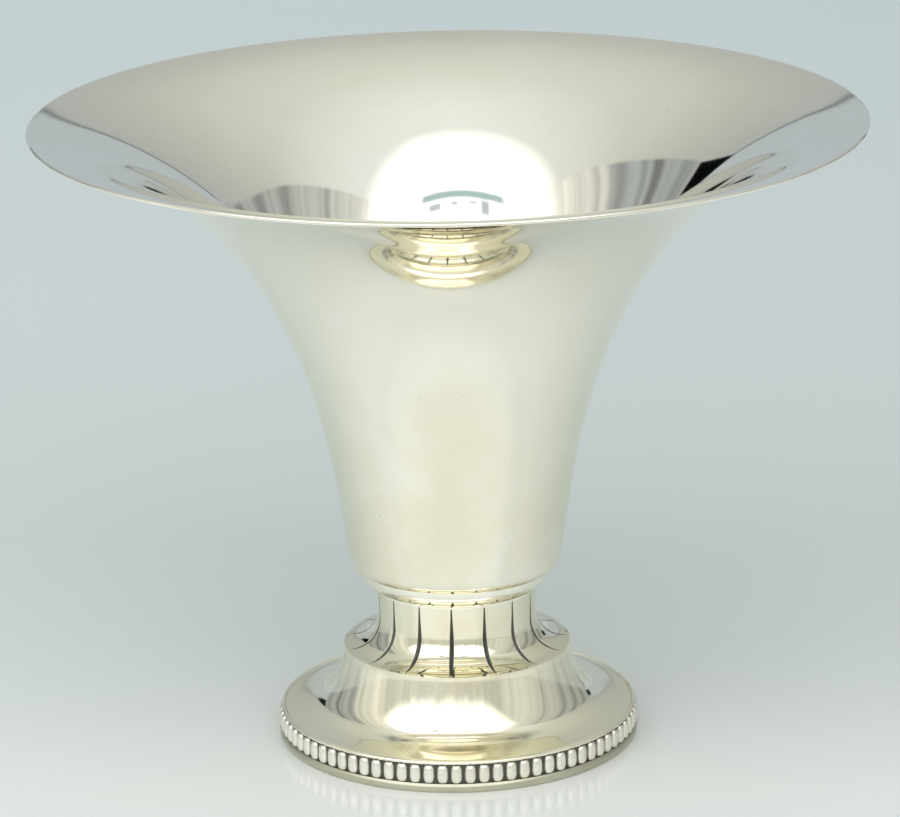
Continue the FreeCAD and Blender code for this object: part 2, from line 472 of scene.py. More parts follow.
def bulged(start: Point, end: Point, bulge: float, rows: int) -> list[Point]:
    """Points on an arc that stands off its chord, on the outer side going up.

    Args:
        start: its first point.
        end: its last point.
        bulge: how far its middle stands off the chord.
        rows: how many steps it has.

    Returns:
        The points with both ends.
    """
    run, rise = end[0] - start[0], end[1] - start[1]
    chord = math.hypot(run, rise)
    radius = (chord**2 / 4 + bulge**2) / (2 * bulge)
    out = (rise / chord, -run / chord)
    back = radius - bulge
    centre = ((start[0] + end[0]) / 2 - out[0] * back, (start[1] + end[1]) / 2 - out[1] * back)
    middle = math.degrees(math.atan2(out[1], out[0]))
    half = math.degrees(math.asin(chord / 2 / radius))
    return arc_points(centre, radius, middle - half, middle + half, rows)


def wire_outline(radius: float, height: float, half: float) -> list[Point]:
    """Outline of a ring of round wire, from its middle line and half its thickness."""
    return arc_points((radius, height), half, 0, 360 - 360 / WIRE_SIDES, WIRE_SIDES - 1)


def without_repeats(points: list[Point]) -> list[Point]:
    """Leave out each point that repeats the one before.

    Args:
        points: a closed outline's points in order.

    Returns:
        The points that are left.
    """
    kept = [tuple(points[0])]
    for point in points[1:]:
        if math.dist(point, kept[-1]) > WELD_DISTANCE:
            kept.append(tuple(point))
    if math.dist(kept[0], kept[-1]) < WELD_DISTANCE:
        kept.pop()
    return kept


def grid_faces(
    rows: int, columns: int, start: int = 0, loop_rows: bool = False, loop_columns: bool = False
) -> list[tuple[int, ...]]:
    """Faces between rows of points.

    Args:
        rows: how many rows there are.
        columns: how many points each row has.
        start: the first point's number.
        loop_rows: whether the last row joins the first.
        loop_columns: whether each row's last point joins its first.

    Returns:
        The corners of each face.
    """
    faces = []
    for row in range(rows if loop_rows else rows - 1):
        near, far = start + row * columns, start + (row + 1) % rows * columns
        for column in range(columns if loop_columns else columns - 1):
            after = (column + 1) % columns
            faces.append((near + column, far + column, far + after, near + after))
    return faces


def round_point(radius: float, turn: float, height: float) -> Place:
    """The point at a distance from the axis, an angle round it and a height."""
    return radius * math.cos(turn), radius * math.sin(turn), height


def plain_mesh(
    name: str,
    vertices: list[Place],
    faces: list[tuple[int, ...]],
    patina: list[float] | None = None,
) -> bpy.types.Mesh:
    """A smooth mesh with sharp edges where it has corners.

    Args:
        name: the mesh's name.
        vertices: its points.
        faces: its faces, counter-clockwise from outside.
        patina: how much dark oxide and painted shade each point has, if any.

    Returns:
        The mesh.
    """
    mesh = bpy.data.meshes.new(name)
    mesh.from_pydata(vertices, [], faces)
    mesh.shade_smooth()
    mesh.set_sharp_from_angle(angle=SHARP_ANGLE)
    if patina:
        mesh.attributes.new(PATINA_AND_SHADE, "FLOAT", "POINT").data.foreach_set("value", patina)
    return mesh


def turned_mesh(name: str, outline: list[Point], segments: int) -> bpy.types.Mesh:
    """The mesh that a half outline makes when it turns on the axis.

    Args:
        name: the mesh's name.
        outline: its points in order, with the material on the left. An outline
            that starts and ends on the axis has a single point at each of them.
        segments: how many steps round the axis.

    Returns:
        The mesh, with faces pointing out.
    """
    points = without_repeats(outline)
    turns = np.linspace(0, 2 * math.pi, segments, endpoint=False)
    vertices: list[Place] = []
    rings: list[list[int]] = []
    for radius, height in points:
        start = len(vertices)
        if radius < WELD_DISTANCE:
            vertices.append((0.0, 0.0, height))
            rings.append([start] * segments)
            continue
        vertices += [round_point(radius, turn, height) for turn in turns]
        rings.append(list(range(start, start + segments)))
    faces = []
    for low, high in zip(rings, rings[1:] + rings[:1]):
        for i in range(segments):
            j = (i + 1) % segments
            corners = dict.fromkeys((low[i], low[j], high[j], high[i]))
            if len(corners) > 2:
                faces.append(tuple(corners))
    return plain_mesh(name, vertices, faces)


def new_piece(name: str, mesh: bpy.types.Mesh) -> bpy.types.Object:
    """Put a mesh in the scene.

    Args:
        name: the name of its object.
        mesh: the mesh.

    Returns:
        The object.
    """
    made = bpy.data.objects.new(name, mesh)
    bpy.context.scene.collection.objects.link(made)
    return made


# ---- Geometry Nodes ----


class GeometryTree:
    """One Geometry Nodes tree with named inputs."""

    def __init__(self, name: str, inputs: dict[str, tuple[str, object]]) -> None:
        """Make the tree and its inputs.

        Args:
            name: the tree's name.
            inputs: for each input's name its socket type and the value to use.
        """
        self.tree = bpy.data.node_groups.new(name, "GeometryNodeTree")
        self.tree.is_modifier = True
        face = self.tree.interface
        face.new_socket(name="Geometry", in_out="INPUT", socket_type="NodeSocketGeometry")
        self.chosen: dict[str, object] = {}
        for label, (kind, value) in inputs.items():
            made = face.new_socket(name=label, in_out="INPUT", socket_type=kind)
            self.chosen[made.identifier] = value
        face.new_socket(name="Geometry", in_out="OUTPUT", socket_type="NodeSocketGeometry")
        self.given = self.tree.nodes.new("NodeGroupInput").outputs

    def node(
        self, kind: str, settings: dict | None = None, inputs: dict | None = None
    ) -> bpy.types.NodeOutputs:
        """Add a node, as add_node does, and give its outputs."""
        return add_node(self.tree, kind, settings or {}, inputs or {}).outputs

    def run(self, piece: bpy.types.Object) -> None:
        """Turn a piece into the tree's result, as a plain mesh.

        Args:
            piece: the object whose mesh goes in and is replaced.
        """
        modifier = piece.modifiers.new(self.tree.name, "NODES")
        modifier.node_group = self.tree
        for identifier, value in self.chosen.items():
            modifier[identifier] = value
        graph = bpy.context.evaluated_depsgraph_get()
        mesh = bpy.data.meshes.new_from_object(
            piece.evaluated_get(graph), preserve_all_data_layers=True, depsgraph=graph
        )
        piece.modifiers.remove(modifier)
        mesh.name = piece.name
        piece.data = mesh


def repeated_round_axis(
    piece: bpy.types.Object, copies: int, phase_deg: float, material: bpy.types.Material
) -> bpy.types.Object:
    """Repeat a piece's mesh evenly round the axis and weld the copies.

    Args:
        piece: the object with one copy's mesh, made towards +X.
        copies: how many there are.
        phase_deg: how far the first copy is turned from +X.
        material: the copies' material.

    Returns:
        The piece, with all copies in its mesh.
    """
    tree = GeometryTree(
        piece.name + "_repeat",
        {
            "Copies": ("NodeSocketInt", copies),
            "Phase": ("NodeSocketFloat", math.radians(phase_deg)),
            "Material": ("NodeSocketMaterial", material),
        },
    )
    given = tree.given
    marks = tree.node("GeometryNodePoints", {}, {"Count": given["Copies"]})[0]
    index = tree.node("GeometryNodeInputIndex")[0]
    whole = {0: 2 * math.pi, 1: given["Copies"]}
    step = tree.node("ShaderNodeMath", {"operation": "DIVIDE"}, whole)[0]
    terms = {0: index, 1: step, 2: given["Phase"]}
    turn = tree.node("ShaderNodeMath", {"operation": "MULTIPLY_ADD"}, terms)[0]
    euler = tree.node("ShaderNodeCombineXYZ", {}, {"Z": turn})[0]
    rotation = tree.node("FunctionNodeEulerToRotation", {}, {0: euler})[0]
    inputs = {"Points": marks, "Instance": given["Geometry"], "Rotation": rotation}
    copied = tree.node("GeometryNodeInstanceOnPoints", {}, inputs)[0]
    real = tree.node("GeometryNodeRealizeInstances", {}, {0: copied})[0]
    inputs = {0: real, "Distance": WELD_DISTANCE}
    welded = tree.node("GeometryNodeMergeByDistance", {}, inputs)[0]
    inputs = {0: welded, "Material": given["Material"]}
    dressed = tree.node("GeometryNodeSetMaterial", {}, inputs)[0]
    tree.node("NodeGroupOutput", {}, {0: dressed})
    tree.run(piece)
    return piece


# ---- The vase ----


@dataclass(kw_only=True)
class SubAssembly:
    """Pieces that are made and dressed together."""

    metal: Metal
    segments: int = 384
    pieces: list[bpy.types.Object] = field(default_factory=list, init=False)

    def build(self) -> None:
        """Make and dress the pieces."""
        raise NotImplementedError

    def add_turned(self, node: str, outline: list[Point], metal: Metal) -> None:
        """Make and dress a piece that is turned from a half outline."""
        mesh = turned_mesh(node, outline, self.segments)
        self.dress(new_piece(node + PIECE, mesh), metal)

    def add_repeated(
        self, node: str, mesh: bpy.types.Mesh, copies: int, phase_deg: float, metal: Metal
    ) -> None:
        """Make and dress a piece that repeats a mesh round the axis."""
        piece = new_piece(node + PIECE, mesh)
        self.dress(repeated_round_axis(piece, copies, phase_deg, metal.material), metal)

    def dress(self, piece: bpy.types.Object, metal: Metal) -> None:
        """Seat a piece in the frame, in place of the CAD node of its own name.

        Args:
            piece: a finished mesh object.
            metal: its finish.
        """
        if not piece.data.materials:
            piece.data.materials.append(metal.material)
        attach(piece, ROOT)
        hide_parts(piece.name.removesuffix(PIECE))
        self.pieces.append(piece)
        log.info("%s: %d faces, finish %s", piece.name, len(piece.data.polygons), metal.slot.value)


@dataclass(kw_only=True)
class Foot(SubAssembly):
    """Ring, sheet, bead border and wire that the vase stands on."""

    ring_metal: Metal
    bead_metal: Metal
    ring_height: float = 0.0022
    ring_radius: float = 0.0437
    ring_bore: float = 0.040
    ring_bulge: float = 0.00045
    sheet: float = 0.0009
    radius: float = 0.04275
    brim_height: float = 0.00765
    brim_land: float = 0.0012
    brim_slope: float = 2.5
    edge_bend: float = 0.0003
    wall_radius: float = 0.02765
    wall_lean: float = 2.0
    shoulder_height: float = 0.0226
    flare_shares: tuple[Point, ...] = (
        (0.240, 0.022), (0.457, 0.066), (0.642, 0.171), (0.789, 0.360), (0.907, 0.628),
        (0.981, 0.887),
    )
    bead_count: int = 82
    bead_width: float = 0.0029
    bead_depth: float = 0.00145
    bead_height: float = 0.0047
    bead_lift_power: float = 0.66
    bead_size_power: float = 0.44
    bead_taper: float = 0.06
    bead_out_power: float = 0.8
    bead_side_power: float = 0.85
    bead_strip: float = 0.00035
    bead_phase: float = 1.2
    bead_columns: int = 10
    bead_rows: int = 12
    strip_columns: int = 4
    patina_and_shade_reach: float = 0.46
    patina_and_shade_reach_softness: float = 0.2
    patina_and_shade_lift: float = 0.9
    patina_and_shade_lift_softness: float = 0.08
    wire_thickness: float = 0.0009
    rows: int = 72

    def build(self) -> None:
        """Make the ring, the sheet, the wire and the beads."""
        self.add_turned("foot_ring", self.ring_outline(), self.ring_metal)
        self.add_turned("foot_dome", self.sheet_outline(), self.metal)
        half = self.wire_thickness / 2
        height = self.ring_height + self.bead_height + half
        self.add_turned("edge_wire", wire_outline(self.radius + half, height, half), self.metal)
        beads = self.bead_mesh()
        self.add_repeated("bead_border", beads, self.bead_count, self.bead_phase, self.bead_metal)

    def ring_outline(self) -> list[Point]:
        """Draw the flat ring with its rounded outer edge.

        Returns:
            Its outline.
        """
        low, high = (self.ring_radius, 0), (self.ring_radius, self.ring_height)
        side = bulged(low, high, self.ring_bulge, 10)
        return [(self.ring_bore, 0), *side, (self.ring_bore, self.ring_height)]

    def sheet_outline(self) -> list[Point]:
        """Draw the foot sheet, from its turned-down edge over the brim to the shoulder.

        Returns:
            Its outline.
        """
        slope = math.radians(self.brim_slope)
        bend = (self.radius - self.edge_bend, self.brim_height - self.edge_bend)
        land = self.brim_land
        start = (bend[0] - land * math.cos(slope), self.brim_height + land * math.sin(slope))
        ends = (start, (self.wall_radius, self.shoulder_height))
        leans = (self.brim_slope - 90, -self.wall_lean)
        outer, inner = sheet_sides(ends, self.flare_shares, leans, self.sheet, self.rows)
        inner[-1] = self.wall_radius - self.sheet, self.shoulder_height
        inside = self.radius - self.sheet
        fall = (inside - inner[0][0]) * math.tan(slope)
        return [
            (inside, self.ring_height),
            (self.radius, self.ring_height),
            *arc_points(bend, self.edge_bend, 0, 90, 6),
            *outer.tolist(),
            *inner[::-1].tolist(),
            (inside, inner[0][1] - fall),
        ]

    def bead_mesh(self) -> bpy.types.Mesh:
        """One bead with its share of the strip behind it, towards +X.

        Returns:
            The mesh, with the strength of its dark oxide and painted shade in an attribute.
        """
        vertices: list[Place] = []
        patina: list[float] = []
        half_width, half_height = self.bead_width / 2, self.bead_height / 2
        middle = self.ring_height + half_height
        for row in range(self.bead_rows + 1):
            rise = -math.pi / 2 + math.pi * row / self.bead_rows
            lift = math.copysign(abs(math.sin(rise)) ** self.bead_lift_power, rise)
            size = abs(math.cos(rise)) ** self.bead_size_power
            widen = 1.0 - self.bead_taper * lift
            for column in range(self.bead_columns + 1):
                side = math.pi / 2 - math.pi * column / self.bead_columns
                reach = size * abs(math.cos(side)) ** self.bead_out_power
                aside = math.copysign(abs(math.sin(side)) ** self.bead_side_power, side)
                sweep = size * widen * aside
                out = self.radius + self.bead_depth * reach
                turn = half_width * sweep / (self.radius + self.bead_depth)
                height = middle + half_height * lift
                vertices.append(round_point(out, turn, height))
                # Painted shade with dark oxide: darker where the bead turns in to the strip in the
                # gaps between beads, and at its top and bottom ends by the wire and the ring.
                deep = (self.patina_and_shade_reach - reach) / self.patina_and_shade_reach_softness
                last = (abs(lift) - self.patina_and_shade_lift) / self.patina_and_shade_lift_softness
                patina.append(min(1.0, max(0.0, deep, last)))
        faces = grid_faces(self.bead_rows + 1, self.bead_columns + 1)
        half_turn = math.pi / self.bead_count
        low, high = self.ring_height, self.ring_height + self.bead_height
        back, front = self.radius, self.radius + self.bead_strip
        loop = [(back, low), (front, low), (front, high), (back, high)]
        columns = self.strip_columns
        faces += grid_faces(columns + 1, len(loop), len(vertices), loop_columns=True)
        for column in range(columns + 1):
            turn = half_turn * (2 * column / columns - 1)
            vertices += [round_point(radius, turn, height) for radius, height in loop]
            # The strip behind the beads is dark all over: painted shade in the gaps between them,
            # with dark oxide.
            patina += [1.0] * len(loop)
        return plain_mesh("bead_border", vertices, faces, patina)


@dataclass(kw_only=True)
class Neck(SubAssembly):
    """Hollow neck with engraved grooves and a flared lip."""

    radius: float = 0.0194
    wall: float = 0.0011
    top_height: float = 0.0379
    lip_radius: float = 0.02775
    lip_height: float = 0.0232
    lip_edge: float = 0.0006
    lip_drop: float = 0.00015
    flare_radius: float = 0.0072
    groove_count: int = 15
    groove_phase: float = 266.1
    groove_width: float = 0.00125
    groove_depth: float = 0.0005
    groove_top_gap: float = 0.0005
    groove_end_gap: float = 0.0007
    groove_fade: float = 0.02
    patina_and_shade_depth: float = 0.15
    patina_and_shade_gain: float = 5.0
    width_shares: tuple[Point, ...] = (
        (0.0, 0.30), (0.2, 0.55), (0.4, 0.90), (0.58, 1.0), (0.74, 0.90), (0.88, 0.60),
        (1.0, 0.16),
    )
    rows: int = 90
    groove_columns: int = 5
    plain_columns: int = 9

    def build(self) -> None:
        """Make the neck."""
        sector = self.sector_mesh()
        self.add_repeated("fluted_neck", sector, self.groove_count, self.groove_phase, self.metal)

    def flare_centre(self) -> Point:
        """The centre of the flare's arc."""
        return self.radius + self.flare_radius, self.lip_height + self.lip_drop + self.flare_radius

    def outer_line(self) -> tuple[list[Point], list[Point], list[float]]:
        """The neck's outer line from its top to the lip.

        Returns:
            Its points, the direction straight out of it at each, and the share of
            the way along the groove at each, below 0 and above 1 past its ends.
        """
        centre = self.flare_centre()
        straight = self.top_height - centre[1]
        bend = self.flare_radius * math.pi / 2
        run = self.lip_radius - centre[0]
        start, end = self.groove_top_gap, straight + bend + run - self.groove_end_gap
        points, outs, shares = [], [], []
        for mark in np.linspace(0, straight + bend + run, self.rows + 1):
            if mark <= straight:
                point, out = (self.radius, self.top_height - mark), (1.0, 0.0)
            elif mark <= straight + bend:
                angle = (mark - straight) / self.flare_radius
                out = (math.cos(angle), math.sin(angle))
                flare = self.flare_radius
                point = (centre[0] - flare * out[0], centre[1] - flare * out[1])
            else:
                out = (0.0, 1.0)
                drop = self.lip_drop * (mark - straight - bend) / run
                point = (centre[0] + mark - straight - bend, centre[1] - self.flare_radius - drop)
            points.append(point)
            outs.append(out)
            shares.append((mark - start) / (end - start))
        return points, outs, shares

    def inner_line(self) -> list[Point]:
        """Draw the inside of the neck.

        Returns:
            Its points from the lip's underside up to its top.
        """
        centre = self.flare_centre()
        inner = self.flare_radius + self.wall
        low = self.lip_height - self.lip_edge
        last = math.degrees(math.asin((centre[1] - low) / inner))
        curve = arc_points(centre, inner, 180 + last, 180, 24)
        return [(self.lip_radius, low), *curve, (self.radius - self.wall, self.top_height)]

    def columns(self, edge: float) -> list[Point]:
        """The columns of one share of the neck, with a groove in the middle.

        Args:
            edge: half the groove's angle.

        Returns:
            Each column's angle from the middle, and its place from the groove's
            middle at 0 to its edge at 1, which it keeps beyond it.
        """
        free = math.pi / self.groove_count - edge
        plain = [edge + free * (i + 1) / self.plain_columns for i in range(self.plain_columns)]
        steps = range(-self.groove_columns, self.groove_columns + 1)
        grooved = [(edge * i / self.groove_columns, abs(i) / self.groove_columns) for i in steps]
        return [*((-turn, 1.0) for turn in plain[::-1]), *grooved, *((turn, 1.0) for turn in plain)]

    def sector_mesh(self) -> bpy.types.Mesh:
        """One share of the neck with its groove in the middle, towards +X.

        Returns:
            The mesh, with the strength of its dark oxide and painted shade in an attribute.
        """
        marks, widths = zip(*self.width_shares)
        vertices: list[Place] = []
        patina: list[float] = []
        for (radius, height), out, share in zip(*self.outer_line()):
            width_share = float(np.interp(share, marks, widths))
            past = max(0.0, -share, share - 1) / self.groove_fade
            depth = self.groove_depth * width_share * max(0.0, 1 - past)
            # Dark oxide with painted shade in the grooves, strongest in the middle of each and
            # fading where it runs out.
            dark = min(1.0, depth / (self.patina_and_shade_depth * self.groove_depth))
            for turn, across in self.columns(self.groove_width * width_share / 2 / radius):
                sink = depth * (1 - across)
                vertices.append(round_point(radius - out[0] * sink, turn, height - out[1] * sink))
                patina.append(min(1.0, self.patina_and_shade_gain * (1 - across)) * dark)
        columns = self.columns(self.groove_width * widths[-1] / 2 / self.lip_radius)
        for radius, height in self.inner_line():
            vertices += [round_point(radius, turn, height) for turn, _ in columns]
            patina += [0.0] * len(columns)
        faces = grid_faces(len(vertices) // len(columns), len(columns), loop_rows=True)
        return plain_mesh("fluted_neck", vertices, faces, patina)


@dataclass(kw_only=True)
class Collar(SubAssembly):
    """Convex ring between the neck and the bowl."""

    base_height: float = 0.0379
    top_height: float = 0.04295
    base_radius: float = 0.0201
    top_radius: float = 0.0234
    bore: float = 0.016
    edge: float = 0.00035
    bulge: float = 0.00085
    segments: int = 360

    def build(self) -> None:
        """Make the collar."""
        self.add_turned("collar_ring", self.outline(), self.metal)

    def outline(self) -> list[Point]:
        """Draw the ring with its fine upright edge.

        Returns:
            Its outline.
        """
        foot = (self.base_radius, self.base_height + self.edge)
        return [
            (self.bore, self.base_height),
            (self.base_radius, self.base_height),
            *bulged(foot, (self.top_radius, self.top_height), self.bulge, 20),
            (self.bore, self.top_height),
        ]


@dataclass(kw_only=True)
class Bowl(SubAssembly):
    """Flared bowl in one sheet with a wire round its mouth."""

    mouth_radius: float = 0.1
    mouth_height: float = 0.1545
    bottom_height: float = 0.04295
    sheet: float = 0.0009
    corner: float = 0.003
    throat_radius: float = 0.02605
    throat_height: float = 0.04615
    throat_lean: float = 7.4
    mouth_lean: float = 82.0
    wire_thickness: float = 0.00095
    wire_lap: float = 0.3
    flare_shares: tuple[Point, ...] = (
        (0.049, 0.213), (0.129, 0.424), (0.259, 0.623), (0.448, 0.798), (0.566, 0.872),
        (0.698, 0.9325), (0.844, 0.977),
    )
    rows: int = 90

    def build(self) -> None:
        """Make the bowl and its wire."""
        self.add_turned("trumpet_bowl", self.outline(), self.metal)
        half = self.wire_thickness / 2
        wire = wire_outline(self.mouth_radius - half, self.mouth_height - half, half)
        self.add_turned("rim_wire", wire, self.metal)

    def outline(self) -> list[Point]:
        """Draw the sheet, up the outside from the bottom's middle and down the inside.

        Returns:
            Its outline.
        """
        half = self.wire_thickness / 2
        along = direction(self.mouth_lean)
        back = half + half * self.wire_lap * along[0], half + half * self.wire_lap * along[1]
        edge = (self.mouth_radius - back[0], self.mouth_height - back[1])
        end = (edge[0] + along[1] * self.sheet / 2, edge[1] - along[0] * self.sheet / 2)
        ends = ((self.throat_radius, self.throat_height), end)
        leans = (self.throat_lean, self.mouth_lean)
        outer, inner = sheet_sides(ends, self.flare_shares, leans, self.sheet, self.rows)
        throat = math.radians(self.throat_lean)
        out = (math.cos(throat), -math.sin(throat))
        turn_height = self.bottom_height + self.corner + out[1] * self.corner
        turn_radius = self.throat_radius - (self.throat_height - turn_height) * math.tan(throat)
        centre = (turn_radius - out[0] * self.corner, self.bottom_height + self.corner)
        floor = self.bottom_height + self.sheet
        inner_corner = self.corner - self.sheet
        return [
            (0.0, self.bottom_height),
            *arc_points(centre, self.corner, -90, -self.throat_lean, 14),
            *outer.tolist(),
            *inner[::-1].tolist(),
            *arc_points(centre, inner_corner, -self.throat_lean, -90, 14),
            (0.0, floor),
        ]


# ---- Studio ----


@dataclass(frozen=True)
class Camera:
    """The camera that the picture was taken with, fitted to the vase's rings."""

    place: tuple[float, float, float] = (0.0, -1.01614, 0.39189)
    right: tuple[float, float, float] = (0.9998, -0.0046, -0.0175)
    up: tuple[float, float, float] = (0.0181, 0.2913, 0.9565)
    forward: tuple[float, float, float] = (-0.0007, 0.9566, -0.2914)
    focal_pixels: float = 4385.6
    picture_width: int = 900
    sensor_width: float = 36.0

    def set_up(self) -> None:
        """Make the camera and look through it."""
        data = bpy.data.cameras.new("camera")
        data.sensor_width = self.sensor_width
        data.lens = self.focal_pixels / self.picture_width * self.sensor_width
        made = bpy.data.objects.new("camera", data)
        bpy.context.scene.collection.objects.link(made)
        backward = -Vector(self.forward)
        turned = Matrix((self.right, self.up, backward)).transposed().to_4x4()
        made.matrix_world = Matrix.Translation(self.place) @ turned
        bpy.context.scene.camera = made


@dataclass(frozen=True)
class Gaze:
    """A direction in the world's shader.

    The turn is 0 towards the camera, positive to the right and 180 behind the
    vase. The rise is above the horizon. Both are in degrees.
    """

    sketch: ShaderSketch
    x: Value
    front: Value
    turn: Value
    rise: Value


@dataclass(frozen=True)
class Studio:
    """A pale glossy table in a white studio, which the silver shows by direction.

    Angles are in degrees, turned and raised as in Gaze. Each mark on the panel is
    its turn, its drop below the band, its width and its height, each fold of the
    curtains its turn, its width and its tone, and the gap on the right its turn,
    its width, its rise and its height.
    """

    table_reach: float = 4.0
    table_front: float = -0.35
    table_depth: float = 1.25
    # Painted shade across the table: darker towards the right, lighter towards the left.
    table_painted_shade: float = 0.15
    table_painted_shade_reach: float = 0.3
    back_turn: float = 150.0
    back_top: float = 16.5
    back_level: float = 174.0
    back_falls: Point = (0.045, 0.135)
    curtain_middle: float = -1.0
    curtain_width: float = 299.0
    curtain_depths: Point = (0.3, 0.5)
    left_gap_rises: Point = (12.0, 22.2)
    left_gap_side: Point = (7.0, 1.7)
    left_gap_fall: float = 0.6
    right_gap: tuple[float, float, float, float] = (150.5, 5.0, 7.0, 9.0)
    panel_strength: float = 1.8
    panel_turn: float = -15.5
    panel_foot: float = 14.5
    panel_width: float = 52.0
    panel_shoulder: float = 45.0
    panel_spreads: Point = (2.2, 0.8)
    panel_rays: float = 14.0
    panel_cut: Place = (0.2, 0.1, 0.1126)
    band_rise: float = 58.2
    band_middle: float = -5.0
    band_fall: float = 0.004
    backdrop: Colour = (0.455, 0.515, 0.55)
    back_edge: Colour = (0.17, 0.19, 0.19)
    seen_behind: Colour = (0.56, 0.63, 0.635)
    below: Colour = (0.504, 0.543, 0.558)
    front_ceiling: Colour = (0.927, 0.952, 0.982)
    band_tone: Colour = (0.403, 0.573, 0.600)
    mark_tone: Colour = (0.40, 0.47, 0.54)
    dark: Colour = (0.002, 0.003, 0.003)
    marks: tuple[tuple[float, float, float, float], ...] = (
        (11.0, 3.4, 9.0, 2.2),
        (-4.0, 3.0, 5.0, 1.4),
        (-18.0, 2.6, 5.5, 1.2),
        (-27.0, 3.8, 6.0, 4.4),
    )
    ceiling_stops: Stops = (
        (0.16, (0.413, 0.438, 0.440)), (0.35, (0.504, 0.529, 0.502)),
        (0.50, (0.595, 0.621, 0.576)), (0.75, (0.706, 0.732, 0.672)),
        (0.97, (0.816, 0.835, 0.800)),
    )
    curtain_stops: Stops = (
        (0.17, (0.39, 0.42, 0.43)), (0.195, (0.48, 0.51, 0.51)),
        (0.204, (0.76, 0.77, 0.73)), (0.22, (0.72, 0.73, 0.69)), (0.27, (0.88, 0.89, 0.83)),
        (0.3, (0.64, 0.65, 0.60)), (0.42, (0.70, 0.71, 0.66)), (0.5, (0.66, 0.67, 0.62)),
        (0.6, (0.58, 0.60, 0.55)), (0.66, (0.74, 0.76, 0.71)), (0.69, (0.74, 0.76, 0.71)),
        (0.706, (0.60, 0.62, 0.60)), (0.77, (0.55, 0.57, 0.56)), (0.8, (0.44, 0.46, 0.46)),
        (1.0, (0.39, 0.42, 0.43)),
    )
    folds: tuple[tuple[float, float, float], ...] = (
        (-146.5, 6.0, 0.74), (-133.0, 4.5, 0.48), (-126.5, 3.0, 0.75), (-114.5, 6.0, 0.80),
        (-102.5, 3.0, 0.80), (86.5, 3.5, 0.70), (111.5, 5.0, 0.66), (127.0, 7.0, 0.66),
        (140.0, 5.0, 0.60),
    )
    # Table colour by depth, with painted light and shade: a bright warm pool in front of the vase,
    # a painted shade dip close in front of it, darker towards the back.
    table_painted_light_stops: Stops = (
        (0.0, (0.64, 0.64, 0.57)), (0.104, (0.74, 0.745, 0.68)), (0.16, (1.0, 1.0, 1.0)),
        (0.183, (0.89, 0.895, 0.84)), (0.192, (0.87, 0.88, 0.82)),
        (0.202, (0.895, 0.915, 0.87)), (0.214, (0.905, 0.935, 0.91)),
        (0.23, (0.85, 0.885, 0.885)), (0.242, (0.865, 0.892, 0.885)),
        (0.28, (0.808, 0.85, 0.845)), (0.312, (0.755, 0.81, 0.80)),
        (0.344, (0.715, 0.775, 0.77)), (0.4, (0.665, 0.725, 0.72)), (0.6, (0.655, 0.715, 0.73)),
        (0.976, (0.605, 0.68, 0.695)),
    )
    rail_bends: tuple[Point, ...] = (
        (0.0, 0.12), (0.05, 0.13), (0.081, 0.243), (0.103, 0.312), (0.132, 0.387),
        (0.169, 0.463), (0.196, 0.505), (0.24, 0.55), (0.5, 0.56), (0.68, 0.565),
        (0.717, 0.551), (0.755, 0.521), (0.793, 0.472), (0.829, 0.397), (0.869, 0.287),
        (0.911, 0.183), (0.95, 0.13), (1.0, 0.12),
    )

    def build(self) -> None:
        """Make the table and the surroundings."""
        self.make_table()
        self.make_world()

    def make_table(self) -> None:
        """A pale table with painted light: a warm pool in front of the vase, painted shade near it
        and to the right.
        """
        reach = self.table_reach
        corners = [(-reach, -reach, 0), (reach, -reach, 0), (reach, reach, 0), (-reach, reach, 0)]
        table = new_piece("table", plain_mesh("table", corners, [(0, 1, 2, 3)]))
        material, sketch = new_material("table")
        x, y, _ = sketch.parts(sketch.coordinates(sketch.OBJECT))
        # Painted light and shade: the colour by depth holds the pool of light in front and the
        # shade near the vase, and the side factor darkens the right.
        colour = sketch.ramp(self.table_painted_light_stops, (y - self.table_front) / self.table_depth)
        aside = x.least(self.table_painted_shade_reach).most(-self.table_painted_shade_reach)
        colour = sketch.scaled(colour, 1.0 - aside * self.table_painted_shade)
        sketch.end_surface({"Base Color": colour, "Roughness": 0.16, "Specular IOR Level": 0.5})
        table.data.materials.append(material)

    def make_world(self) -> None:
        """The surroundings, drawn by direction."""
        world = bpy.data.worlds.new("studio")
        world.use_nodes = True
        bpy.context.scene.world = world
        sketch = ShaderSketch(world.node_tree)
        x, y, z = sketch.parts(sketch.coordinates(sketch.GENERATED))
        front = y * -1.0
        rise = z.least(1.0).most(-1.0).arcsine_deg()
        gaze = Gaze(sketch, x, front, x.angle_deg(front), rise)
        colour = sketch.ramp(self.ceiling_stops, rise / 90)
        colour = sketch.mixed(front.above(0.1, 0.9), colour, self.front_ceiling)
        for mask, layer in self.back(gaze) + self.curtains(gaze) + self.panel(gaze):
            colour = sketch.mixed(mask, colour, layer)
        colour = sketch.mixed(rise.above(-0.5, 1.0), self.below, colour)
        seen = sketch.node("ShaderNodeLightPath")[0]
        colour = sketch.mixed(seen, colour, self.seen_behind)
        background = sketch.node("ShaderNodeBackground", {}, {"Color": colour, "Strength": 1.0})[0]
        sketch.node("ShaderNodeOutputWorld", {}, {"Surface": background})

    def back(self, gaze: Gaze) -> Layers:
        """Draw the backdrop behind the vase, with its dark top edge.

        Args:
            gaze: the direction.

        Returns:
            Each layer's mask and colour.
        """
        turn, rise = gaze.turn, gaze.rise
        behind = abs(turn).above(self.back_turn, 2.0)
        short = (abs(turn) - self.back_level).least(0.0)
        fall = self.back_falls[0] + (turn * -1.0).above(0.0, 20.0) * self.back_falls[1]
        height = self.back_top + short * fall
        low = 1.0 - rise.above(height, 0.3)
        edge = rise.near(height + 0.2, 0.7, 0.4) * behind
        return [(behind * low, self.backdrop), (edge * 0.95, self.back_edge)]

